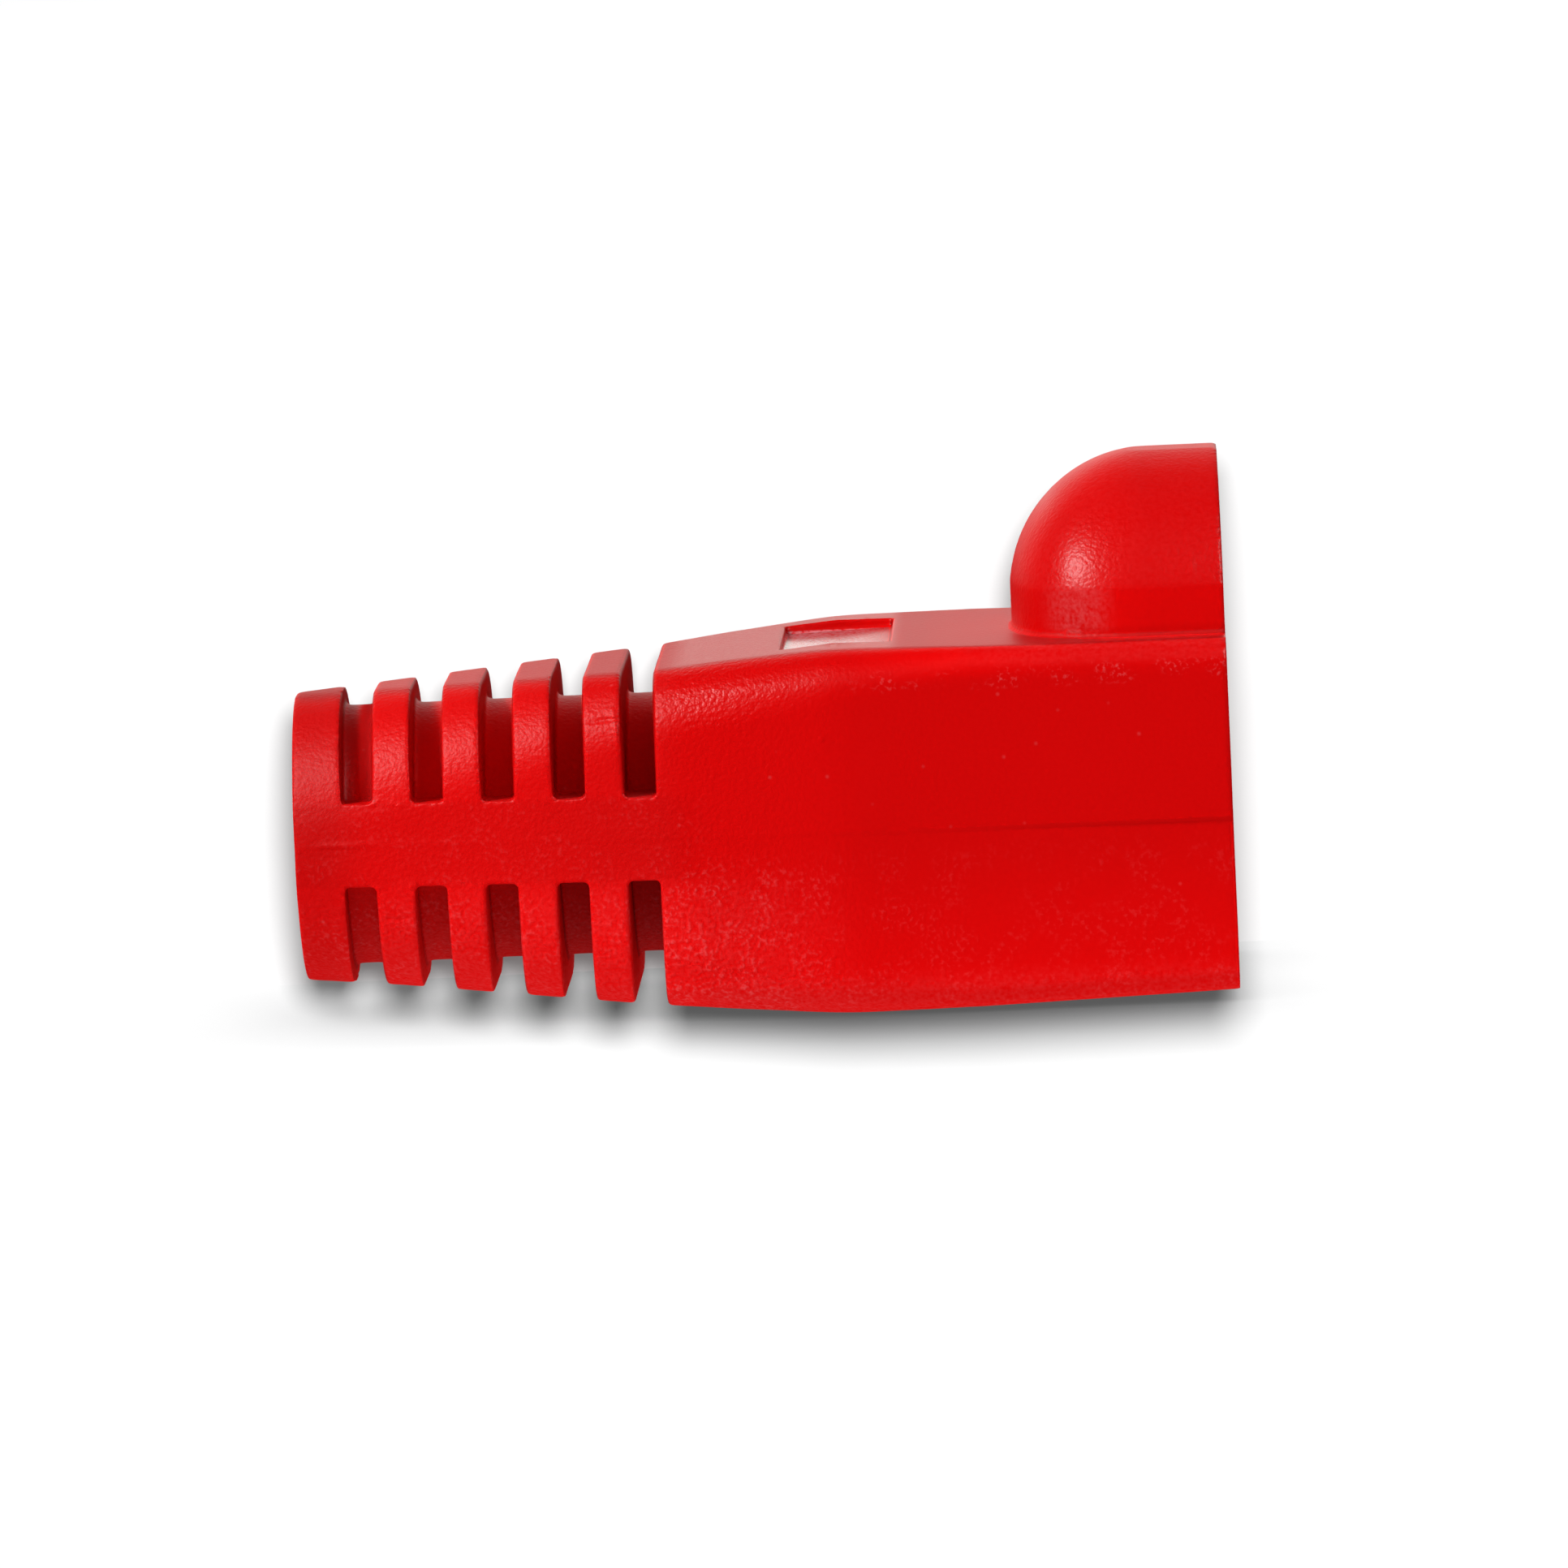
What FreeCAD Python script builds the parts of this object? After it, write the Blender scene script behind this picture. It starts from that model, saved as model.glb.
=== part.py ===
# Strain-relief boot for a modular network plug, moulded in one piece from soft PVC.
#
# The part frame has its origin at the centre of the cable bore, on the tail end face.
# +X runs along the cable to the mouth that takes the plug, +Z is up, to the latch hood.
# The outside is one loft from a round tail end to the rounded rectangle of the housing.
# Flex slots are cut into the tail from above and below, down to the tube round the cable,
# and leave two spines along its sides. The hood is a straight-walled arch closed by a dome.

import FreeCAD, Part
import math
import os
from FreeCAD import Vector

# ---------------------------------------------------------------- driving sizes, millimetres

# Inside: what the boot fits.
bore_radius = 3.10             # for a round cable of up to 6 mm
bore_length = 12.00            # straight bore, from the tail end face to the throat
throat_length = 4.00           # four flat slopes, from a square round the bore to the socket
socket_width = 11.80           # the plug body is 11.68 wide
socket_height = 8.84
socket_corner = 0.50
socket_depth = 12.00

# Walls.
wall = 1.00                    # housing and hood
tube_wall = 0.80               # round the cable, under the flex slots

# Tail: an end ring, then slots and ribs in turn, up to the body.
ring_length = 1.47
ring_step = 0.43               # how far the end ring stands out of the tube
slot_count = 5
slot_width = 0.94
slot_pitch = 2.13
spine_height = 2.50            # the strip along each side that no slot cuts
parting_height = 0.10          # the mould's parting plane, half way up the spines

# Body: the section where the tail joins it.
body_half_width = 6.17
body_half_height = 4.93
body_corner = 2.05

# Housing: the shoulder ends where the section is full size, its corners sharpen a little later.
shoulder_length = 5.40
shoulder_corner = 1.50
corner_run = 4.00
housing_corner = 0.80

# Shallow pocket with a flat floor in the top of the housing, astride the end of the shoulder.
pocket_length = 3.28
pocket_width = 7.60
pocket_depth = 0.32            # below the housing's flat top
pocket_to_hood = 3.62          # from the pocket's front edge to the hood's rear wall

# Latch hood.
hood_length = 6.37             # from its rear wall to the mouth
hood_height = 5.21             # crown above the housing's top
hood_wall_height = 1.43        # straight wall below the dome
hood_side_radius = 4.36        # rear curve of the dome, seen from the side
hood_arch_radius = 5.65        # the dome's arch, seen from the mouth
hood_fullness = 0.73           # rear corners in plan: 0.55 is an ellipse, 1.0 is square
crown_half_width = 0.90        # small flat along the crown
crown_half_length = 0.70
hood_levels = 8                # sections of the dome's loft
hollow_corner = 2.80           # rear corners of the hood's hollow, in plan

# How far cutting tools run past the faces that they open.
overrun = 1.00
round_flat = 0.05              # flats left on a rounded rectangle that stands for a circle

# ---------------------------------------------------------------- sizes worked out from those

tube_radius = bore_radius + tube_wall
tail_radius = tube_radius + ring_step
body_x = ring_length + (slot_count - 1) * slot_pitch + slot_width
shoulder_x = body_x + shoulder_length
straight_x = shoulder_x + corner_run
socket_x = bore_length + throat_length
mouth_x = socket_x + socket_depth

housing_half_width = socket_width / 2 + wall
housing_half_height = socket_height / 2 + wall
housing_top = housing_half_height

hood_rear_x = mouth_x - hood_length
hood_crown = housing_top + hood_height
hood_wall_top = housing_top + hood_wall_height
pocket_front_x = hood_rear_x - pocket_to_hood


def block(start_x, end_x, half_width, foot_z, top_z):
    """Upright box astride the axis."""
    corner = Vector(start_x, -half_width, foot_z)
    return Part.makeBox(end_x - start_x, 2 * half_width, top_z - foot_z, corner)


def rounded_rectangle(x, half_width, half_height, corner):
    """Closed wire in the plane X = x: four sides and four corner arcs, centred on the axis."""
    flat_y = half_width - corner
    flat_z = half_height - corner
    edges = []
    for quarter in range(4):
        turn = math.radians(90 * quarter)
        turned = quarter % 2
        # Run along one side to where the corner begins, then round the corner.
        across = flat_z if turned else flat_y
        out = half_width if turned else half_height
        along = Vector(0, math.cos(turn), math.sin(turn))
        normal = Vector(0, math.sin(turn), -math.cos(turn))
        side_start = along * -across + normal * out
        side_end = along * across + normal * out
        arc_middle = side_end + along * corner * math.sin(math.pi / 4)
        arc_middle = arc_middle - normal * corner * (1 - math.cos(math.pi / 4))
        arc_end = side_end + (along - normal) * corner
        shift = Vector(x, 0, 0)
        edges.append(Part.LineSegment(side_start + shift, side_end + shift).toShape())
        edges.append(Part.Arc(side_end + shift, arc_middle + shift, arc_end + shift).toShape())
    return Part.Wire(edges)


def round_section(x, radius):
    """A circle as a rounded rectangle, so that it lofts cleanly to the others."""
    return rounded_rectangle(x, radius, radius, radius - round_flat)


def make_envelope():
    """The outside of the boot with neither slots nor hood."""
    sections = [
        round_section(0, tail_radius),
        rounded_rectangle(body_x, body_half_width, body_half_height, body_corner),
        rounded_rectangle(shoulder_x, housing_half_width, housing_half_height, shoulder_corner),
        rounded_rectangle(straight_x, housing_half_width, housing_half_height, housing_corner),
        rounded_rectangle(mouth_x, housing_half_width, housing_half_height, housing_corner),
    ]
    return Part.makeLoft(sections, True, True)


def hood_plan(height, centre_x, rear_reach, half_width, front_x):
    """Plan of the hood at one height: square at the front, with full round corners behind."""
    near_rear = [
        Vector(centre_x, -half_width, height),
        Vector(centre_x - rear_reach * hood_fullness, -half_width, height),
        Vector(centre_x - rear_reach, -half_width * hood_fullness, height),
        Vector(centre_x - rear_reach, 0, height),
    ]
    far_rear = [Vector(p.x, -p.y, height) for p in reversed(near_rear)]
    near_curve = Part.BezierCurve()
    near_curve.setPoles(near_rear)
    far_curve = Part.BezierCurve()
    far_curve.setPoles(far_rear)
    near_front = Vector(front_x, -half_width, height)
    far_front = Vector(front_x, half_width, height)
    return Part.Wire([
        Part.LineSegment(near_front, near_rear[0]).toShape(),
        near_curve.toShape(),
        far_curve.toShape(),
        Part.LineSegment(far_rear[-1], far_front).toShape(),
        Part.LineSegment(far_front, near_front).toShape(),
    ])


def hood_arcs(inset):
    """Centre height and radius of the dome's rear curve, then of its arch, inset by a wall."""
    side_centre = hood_crown - math.sqrt(hood_side_radius ** 2 - crown_half_length ** 2)
    arch_centre = hood_crown - math.sqrt(hood_arch_radius ** 2 - crown_half_width ** 2)
    return side_centre, hood_side_radius - inset, arch_centre, hood_arch_radius - inset


def hood_centre_x():
    """Where the dome's rear curve is centred along the boot."""
    side_centre, side_radius, _, _ = hood_arcs(0)
    return hood_rear_x + math.sqrt(side_radius ** 2 - (hood_wall_top - side_centre) ** 2)


def make_hood():
    """The hood as a solid: a straight wall, then the dome, lofted through its plan at each level."""
    side_centre, side_radius, arch_centre, arch_radius = hood_arcs(0)
    plans = []
    for level in range(hood_levels):
        rise = math.sin(math.radians(90 * level / (hood_levels - 1)))
        height = hood_wall_top + (hood_crown - hood_wall_top) * rise
        rear_reach = math.sqrt(side_radius ** 2 - (height - side_centre) ** 2)
        half_width = math.sqrt(arch_radius ** 2 - (height - arch_centre) ** 2)
        plans.append(hood_plan(height, hood_centre_x(), rear_reach, half_width, mouth_x))
    dome = Part.makeLoft(plans, True, False)
    foot = Part.Face(plans[0]).extrude(Vector(0, 0, -hood_wall_height - wall / 2))
    return dome.fuse(foot)


def make_hollow():
    """Tool for the hood's hollow: an upright core with round corners under two curved roofs."""
    side_centre, side_radius, arch_centre, arch_radius = hood_arcs(wall)
    centre_x = hood_centre_x()
    rear_x = centre_x - side_radius
    front_x = mouth_x + overrun
    foot_z = housing_top - 2 * wall
    core = block(rear_x, front_x, arch_radius, foot_z, hood_crown)
    upright = [e for e in core.Edges if e.BoundBox.XMax < centre_x and e.BoundBox.ZLength > wall]
    core = core.makeFillet(hollow_corner, upright)
    # The arch runs all along.
    arch = Part.makeCylinder(arch_radius, front_x - rear_x, Vector(rear_x, 0, arch_centre), Vector(1, 0, 0))
    under_arch = block(rear_x, front_x, arch_radius, foot_z, arch_centre)
    # The rear curve rises to the height of the arch's crown.
    rear = Part.makeCylinder(
        side_radius, 2 * arch_radius, Vector(centre_x, -arch_radius, side_centre), Vector(0, 1, 0))
    under_rear = block(rear_x, centre_x, arch_radius, foot_z, side_centre)
    ahead = block(centre_x, front_x, arch_radius, foot_z, hood_crown)
    return core.common(arch.fuse(under_arch)).common(rear.fuse([under_rear, ahead]))


def make_slots():
    """Tools for the flex slots: bars across the tail, above and below, kept off the tube."""
    half_width = body_half_width + overrun
    reach = body_half_height + overrun
    tube = Part.makeCylinder(tube_radius, body_x + 2 * overrun, Vector(-overrun, 0, 0), Vector(1, 0, 0))
    tools = []
    for index in range(slot_count):
        start_x = ring_length + index * slot_pitch
        end_x = start_x + slot_width
        spine_top = parting_height + spine_height / 2
        spine_foot = parting_height - spine_height / 2
        upper = block(start_x, end_x, half_width, spine_top, reach)
        lower = block(start_x, end_x, half_width, -reach, spine_foot)
        tools.append(upper.cut(tube))
        tools.append(lower.cut(tube))
    return tools


def make_cable_way():
    """Tool for the inside: cable bore, throat and plug socket, open at both ends."""
    bore = Part.makeCylinder(bore_radius, bore_length + 2 * overrun, Vector(-overrun, 0, 0), Vector(1, 0, 0))
    socket_half = (socket_width / 2, socket_height / 2, socket_corner)
    throat = Part.makeLoft([
        rounded_rectangle(bore_length, bore_radius, bore_radius, socket_corner),
        rounded_rectangle(socket_x, *socket_half),
    ], True, True)
    socket = Part.makeLoft([
        rounded_rectangle(socket_x, *socket_half),
        rounded_rectangle(mouth_x + overrun, *socket_half),
    ], True, True)
    return [bore, throat, socket]


def make_pocket():
    """Tool for the shallow pocket in the top."""
    rear_x = pocket_front_x - pocket_length
    floor_z = housing_top - pocket_depth
    return block(rear_x, pocket_front_x, pocket_width / 2, floor_z, housing_top + overrun)


def make_boot():
    """The whole boot as one solid."""
    boot = make_envelope().fuse(make_hood())
    tools = make_slots() + make_cable_way() + [make_hollow(), make_pocket()]
    boot = boot.cut(tools)
    return boot.removeSplitter()


def export(name, shape):
    """Write one named piece as parts/NAME.step and say what it measures."""
    solid = shape.Solids[0] if len(shape.Solids) == 1 else shape
    box = solid.BoundBox
    print(name, "valid", solid.isValid(), "solids", len(shape.Solids), "volume", round(solid.Volume, 2))
    print("  X", round(box.XMin, 3), round(box.XMax, 3), "Y", round(box.YMin, 3), round(box.YMax, 3))
    print("  Z", round(box.ZMin, 3), round(box.ZMax, 3))
    solid.exportStep(os.path.join("parts", name + ".step"))


os.makedirs("parts", exist_ok=True)
export("boot", make_boot())
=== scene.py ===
"""Looks of a moulded strain-relief boot for a modular network plug.

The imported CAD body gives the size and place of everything. The visible skin is grown over it:
the same form with the soft edges, mould marks and grain of injection-moulded PVC.
Lengths in the dataclasses are millimetres unless a name says otherwise; the scene is in metres.
"""

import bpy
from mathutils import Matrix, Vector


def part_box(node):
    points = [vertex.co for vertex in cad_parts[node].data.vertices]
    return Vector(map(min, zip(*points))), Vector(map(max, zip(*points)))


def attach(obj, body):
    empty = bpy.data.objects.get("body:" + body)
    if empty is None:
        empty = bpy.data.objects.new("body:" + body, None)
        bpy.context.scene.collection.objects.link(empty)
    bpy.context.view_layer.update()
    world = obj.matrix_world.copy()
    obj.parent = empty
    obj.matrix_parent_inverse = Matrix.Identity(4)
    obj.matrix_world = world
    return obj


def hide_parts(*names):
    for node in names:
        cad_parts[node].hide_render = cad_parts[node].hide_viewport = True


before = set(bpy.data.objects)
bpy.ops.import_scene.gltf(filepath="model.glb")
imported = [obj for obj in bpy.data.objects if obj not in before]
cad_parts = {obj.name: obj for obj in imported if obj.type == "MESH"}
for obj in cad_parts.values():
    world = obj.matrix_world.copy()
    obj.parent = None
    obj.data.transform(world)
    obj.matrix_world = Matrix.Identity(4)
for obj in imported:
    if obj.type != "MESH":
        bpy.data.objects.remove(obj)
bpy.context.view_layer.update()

import logging
import math
from dataclasses import dataclass
from enum import Enum

import bpy
import numpy as np
from mathutils import Euler, Matrix, Vector

logging.basicConfig(level=logging.INFO, format="%(message)s")
log = logging.getLogger("boot")

MM = 0.001
NODE = "boot"
BODY = "root"


# ---------------------------------------------------------------- small helpers


def smooth_step(low: float, high: float, values: np.ndarray) -> np.ndarray:
    """Smooth ramp from 0 at low to 1 at high.

    Args:
        low: Where the ramp starts.
        high: Where it ends.
        values: What is ramped.

    Returns:
        The ramp's value for each of them.
    """
    t = np.clip((values - low) / (high - low), 0.0, 1.0)
    return t * t * (3.0 - 2.0 * t)


class WaveSet(Enum):
    """What a set of irregular waves is for; its value seeds them."""

    BEAD = 3
    PARTING = 5
    RIPPLE = 7
    BURRS = 21


def waves(points: np.ndarray, length: float, which: WaveSet, count: int = 14) -> np.ndarray:
    """Gentle irregular waves through space, made of a few plane waves.

    Args:
        points: Where the waves are wanted, one row each.
        length: Typical wave length, in the points' own unit.
        which: Which set of waves.
        count: How many plane waves are added up.

    Returns:
        A value near -1 to 1 for each point.
    """
    rng = np.random.default_rng(which.value)
    total = np.zeros(len(points))
    for _ in range(count):
        heading = rng.normal(size=3)
        heading /= np.linalg.norm(heading)
        pace = 2.0 * math.pi / (length * rng.uniform(0.7, 1.6))
        total += np.sin(points @ heading * pace + rng.uniform(0.0, 2.0 * math.pi))
    return total / math.sqrt(count)


def link_to_scene(obj: bpy.types.Object) -> bpy.types.Object:
    """Puts an object in the scene.

    Args:
        obj: The object.

    Returns:
        The same object.
    """
    bpy.context.scene.collection.objects.link(obj)
    return obj


def baked(obj: bpy.types.Object) -> bpy.types.Mesh:
    """Applies an object's modifiers.

    Args:
        obj: The object, whose modifiers are then removed.

    Returns:
        Its new mesh, which it also uses from now on.
    """
    graph = bpy.context.evaluated_depsgraph_get()
    graph.update()
    mesh = bpy.data.meshes.new_from_object(obj.evaluated_get(graph))
    old = obj.data
    obj.modifiers.clear()
    obj.data = mesh
    bpy.data.meshes.remove(old)
    return mesh


def corners_of(mesh: bpy.types.Mesh) -> np.ndarray:
    """The places of a mesh's vertices.

    Args:
        mesh: The mesh.

    Returns:
        One row for each vertex.
    """
    flat = np.zeros(len(mesh.vertices) * 3, np.float64)
    mesh.vertices.foreach_get("co", flat)
    return flat.reshape(-1, 3)


def normals_of(mesh: bpy.types.Mesh) -> np.ndarray:
    """The normals of a mesh's vertices.

    Args:
        mesh: The mesh.

    Returns:
        One row for each vertex.
    """
    flat = np.zeros(len(mesh.vertices) * 3, np.float32)
    mesh.vertex_normals.foreach_get("vector", flat)
    return flat.reshape(-1, 3).astype(np.float64)


def flat_sheet(name: str, half: float, place: Matrix) -> bpy.types.Object:
    """Makes a square sheet that isn't part of the boot.

    Args:
        name: What to call it.
        half: Half its side, in metres.
        place: Where it lies.

    Returns:
        The sheet.
    """
    mesh = bpy.data.meshes.new(name)
    corners = [(-half, -half, 0), (half, -half, 0), (half, half, 0), (-half, half, 0)]
    mesh.from_pydata(corners, [], [(0, 1, 2, 3)])
    sheet = link_to_scene(bpy.data.objects.new(name, mesh))
    sheet.matrix_world = place
    return sheet


def relax(mesh: bpy.types.Mesh, rounds: int, share: np.ndarray) -> None:
    """Smooths a mesh by moving each vertex towards the middle of its neighbours.

    Args:
        mesh: The mesh.
        rounds: How many times.
        share: How much of the way half is taken, from 0 to 1, for each vertex.

    Returns:
        Nothing.
    """
    points = corners_of(mesh)
    count = len(points)
    ends = np.zeros(len(mesh.edges) * 2, np.int32)
    mesh.edges.foreach_get("vertices", ends)
    near, far = ends[0::2], ends[1::2]
    neighbours = np.bincount(near, minlength=count) + np.bincount(far, minlength=count)
    for _ in range(rounds):
        for axis in range(3):
            place = points[:, axis]
            total = np.bincount(near, place[far], count) + np.bincount(far, place[near], count)
            points[:, axis] = place + (total / neighbours - place) * 0.5 * share
    move_corners(mesh, points)


def move_corners(mesh: bpy.types.Mesh, points: np.ndarray) -> None:
    """Moves a mesh's vertices.

    Args:
        mesh: The mesh.
        points: Their new places, one row each.

    Returns:
        Nothing.
    """
    mesh.vertices.foreach_set("co", points.astype(np.float32).ravel())
    mesh.update()


# ---------------------------------------------------------------- finishes


NumberInput = float | bpy.types.NodeSocket
VectorInput = tuple[float, ...] | bpy.types.NodeSocket


class NodeBoard:
    """Short way to lay shader nodes on a node tree."""

    def __init__(self, tree: bpy.types.NodeTree) -> None:
        """Starts on a tree.

        Args:
            tree: The node tree.
        """
        self.tree = tree

    def add(
        self, kind: str, inputs: dict[str | int, object] | None = None, **settings: object
    ) -> bpy.types.Node:
        """Adds a node.

        Args:
            kind: The node's type.
            inputs: Sockets, by name or number, with a value or the output socket linked to it.
            settings: The node's own settings.

        Returns:
            The node.
        """
        node = self.tree.nodes.new(kind)
        for key, value in settings.items():
            setattr(node, key, value)
        for key, value in (inputs or {}).items():
            socket = node.inputs[key]
            if isinstance(value, bpy.types.NodeSocket):
                self.tree.links.new(value, socket)
            else:
                socket.default_value = value
        return node

    def math(self, operation: str, *values: NumberInput) -> bpy.types.NodeSocket:
        """Adds a calculation.

        Args:
            operation: Which one.
            values: Its inputs, numbers or sockets.

        Returns:
            The result's socket.
        """
        return self.add("ShaderNodeMath", dict(enumerate(values)), operation=operation).outputs[0]

    def ramp(self, value: bpy.types.NodeSocket, start: float, end: float) -> bpy.types.NodeSocket:
        """Adds a smooth ramp from 0 at start to 1 at end, which may be the lower of the two.

        Args:
            value: What is ramped.
            start: Where the ramp is 0.
            end: Where the ramp is 1.

        Returns:
            The ramp's socket.
        """
        low, high = (0.0, 1.0) if start < end else (1.0, 0.0)
        node = self.add(
            "ShaderNodeMapRange",
            {
                "Value": value,
                "From Min": min(start, end),
                "From Max": max(start, end),
                "To Min": low,
                "To Max": high,
            },
            interpolation_type="SMOOTHSTEP",
        )
        return node.outputs["Result"]

    def scaled(self, vector: VectorInput, share: NumberInput) -> bpy.types.NodeSocket:
        """Adds a vector or colour that is scaled.

        Args:
            vector: The vector, as numbers or a socket.
            share: What it is multiplied by, a number or a socket.

        Returns:
            The result's socket.
        """
        inputs = {0: vector, "Scale": share}
        return self.add("ShaderNodeVectorMath", inputs, operation="SCALE").outputs[0]

    def mixed(self, share: NumberInput, first: bpy.types.Node, second: bpy.types.Node) -> bpy.types.Node:
        """Adds a mix of two shaders.

        Args:
            share: How much of it is the second one, from 0 to 1, a number or a socket.
            first: The first shader.
            second: The second shader.

        Returns:
            The mix.
        """
        inputs = {0: share, 1: first.outputs[0], 2: second.outputs[0]}
        return self.add("ShaderNodeMixShader", inputs)

    def split(self, vector: bpy.types.NodeSocket) -> bpy.types.NodeOutputs:
        """Adds a split of a vector into its parts.

        Args:
            vector: The vector's socket.

        Returns:
            The outputs X, Y and Z.
        """
        return self.add("ShaderNodeSeparateXYZ", {0: vector}).outputs


def blank_material(name: str) -> tuple[bpy.types.Material, NodeBoard]:
    """Makes a material that has no nodes yet.

    Args:
        name: What to call it.

    Returns:
        The material, and the board for its nodes.
    """
    material = bpy.data.materials.new(name)
    material.use_nodes = True
    material.node_tree.nodes.clear()
    return material, NodeBoard(material.node_tree)


class Measure(Enum):
    """What a ramp over the boot goes by."""

    ALONG = "distance from the tail end"
    HEIGHT = "height above the axis"
    RADIUS = "distance from the axis"
    ACROSS = "distance to either side of the middle"
    NEARWARD = "distance from the middle towards the near side"
    UPWARD = "how far the surface faces up"
    ENDWAYS = "how far the surface faces either end"


@dataclass(frozen=True)
class Ramp:
    """A smooth change over the boot, from nothing at start to all at end."""

    by: Measure
    start: float
    end: float


@dataclass(frozen=True)
class Zone:
    """Part of the boot, where all its ramps overlap, and how much is added there."""

    amount: float
    ramps: tuple[Ramp, ...]


def along(start: float, end: float) -> Ramp:
    """A ramp along the boot, in millimetres from the tail end.

    Args:
        start: Where it is nothing.
        end: Where it is all.

    Returns:
        The ramp.
    """
    return Ramp(Measure.ALONG, start, end)


def height(start: float, end: float) -> Ramp:
    """A ramp by height, in millimetres above the axis.

    Args:
        start: Where it is nothing.
        end: Where it is all.

    Returns:
        The ramp.
    """
    return Ramp(Measure.HEIGHT, start, end)


IN_POCKET = (
    along(14.6, 14.75),
    along(18.1, 17.95),
    height(4.8, 4.9),
    Ramp(Measure.ACROSS, 3.9, 3.78),
)
POCKET_FLOOR = IN_POCKET + (height(5.24, 5.18),)
HOOD_FOOT = (
    along(21.2, 21.5),
    height(5.41, 5.43),
    height(5.72, 5.64),
    Ramp(Measure.UPWARD, 0.10, 0.40),
    Ramp(Measure.UPWARD, 0.985, 0.93),
)
BESIDE_HOOD = (along(21.7, 22.6), height(5.2, 5.3), height(5.46, 5.43))
ON_TOP = (Ramp(Measure.UPWARD, 0.93, 0.99), height(3.5, 4.5), height(5.6, 5.5))
IN_SLOTS = (along(12.2, 10.9), Ramp(Measure.RADIUS, 4.16, 4.0))
RIB_SIDES = (along(12.2, 11.2), along(0.3, 1.0), Ramp(Measure.ENDWAYS, 0.55, 0.9))
ON_HOOD = height(5.50, 5.75)
SPINE = (along(13.0, 10.9), height(-1.25, -1.0), height(1.5, 1.2))
NEAR_SIDE = Ramp(Measure.NEARWARD, 0.0, 1.0)
UPPER = height(-0.5, 0.5)
LOWER = height(-0.5, -1.2)


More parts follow.
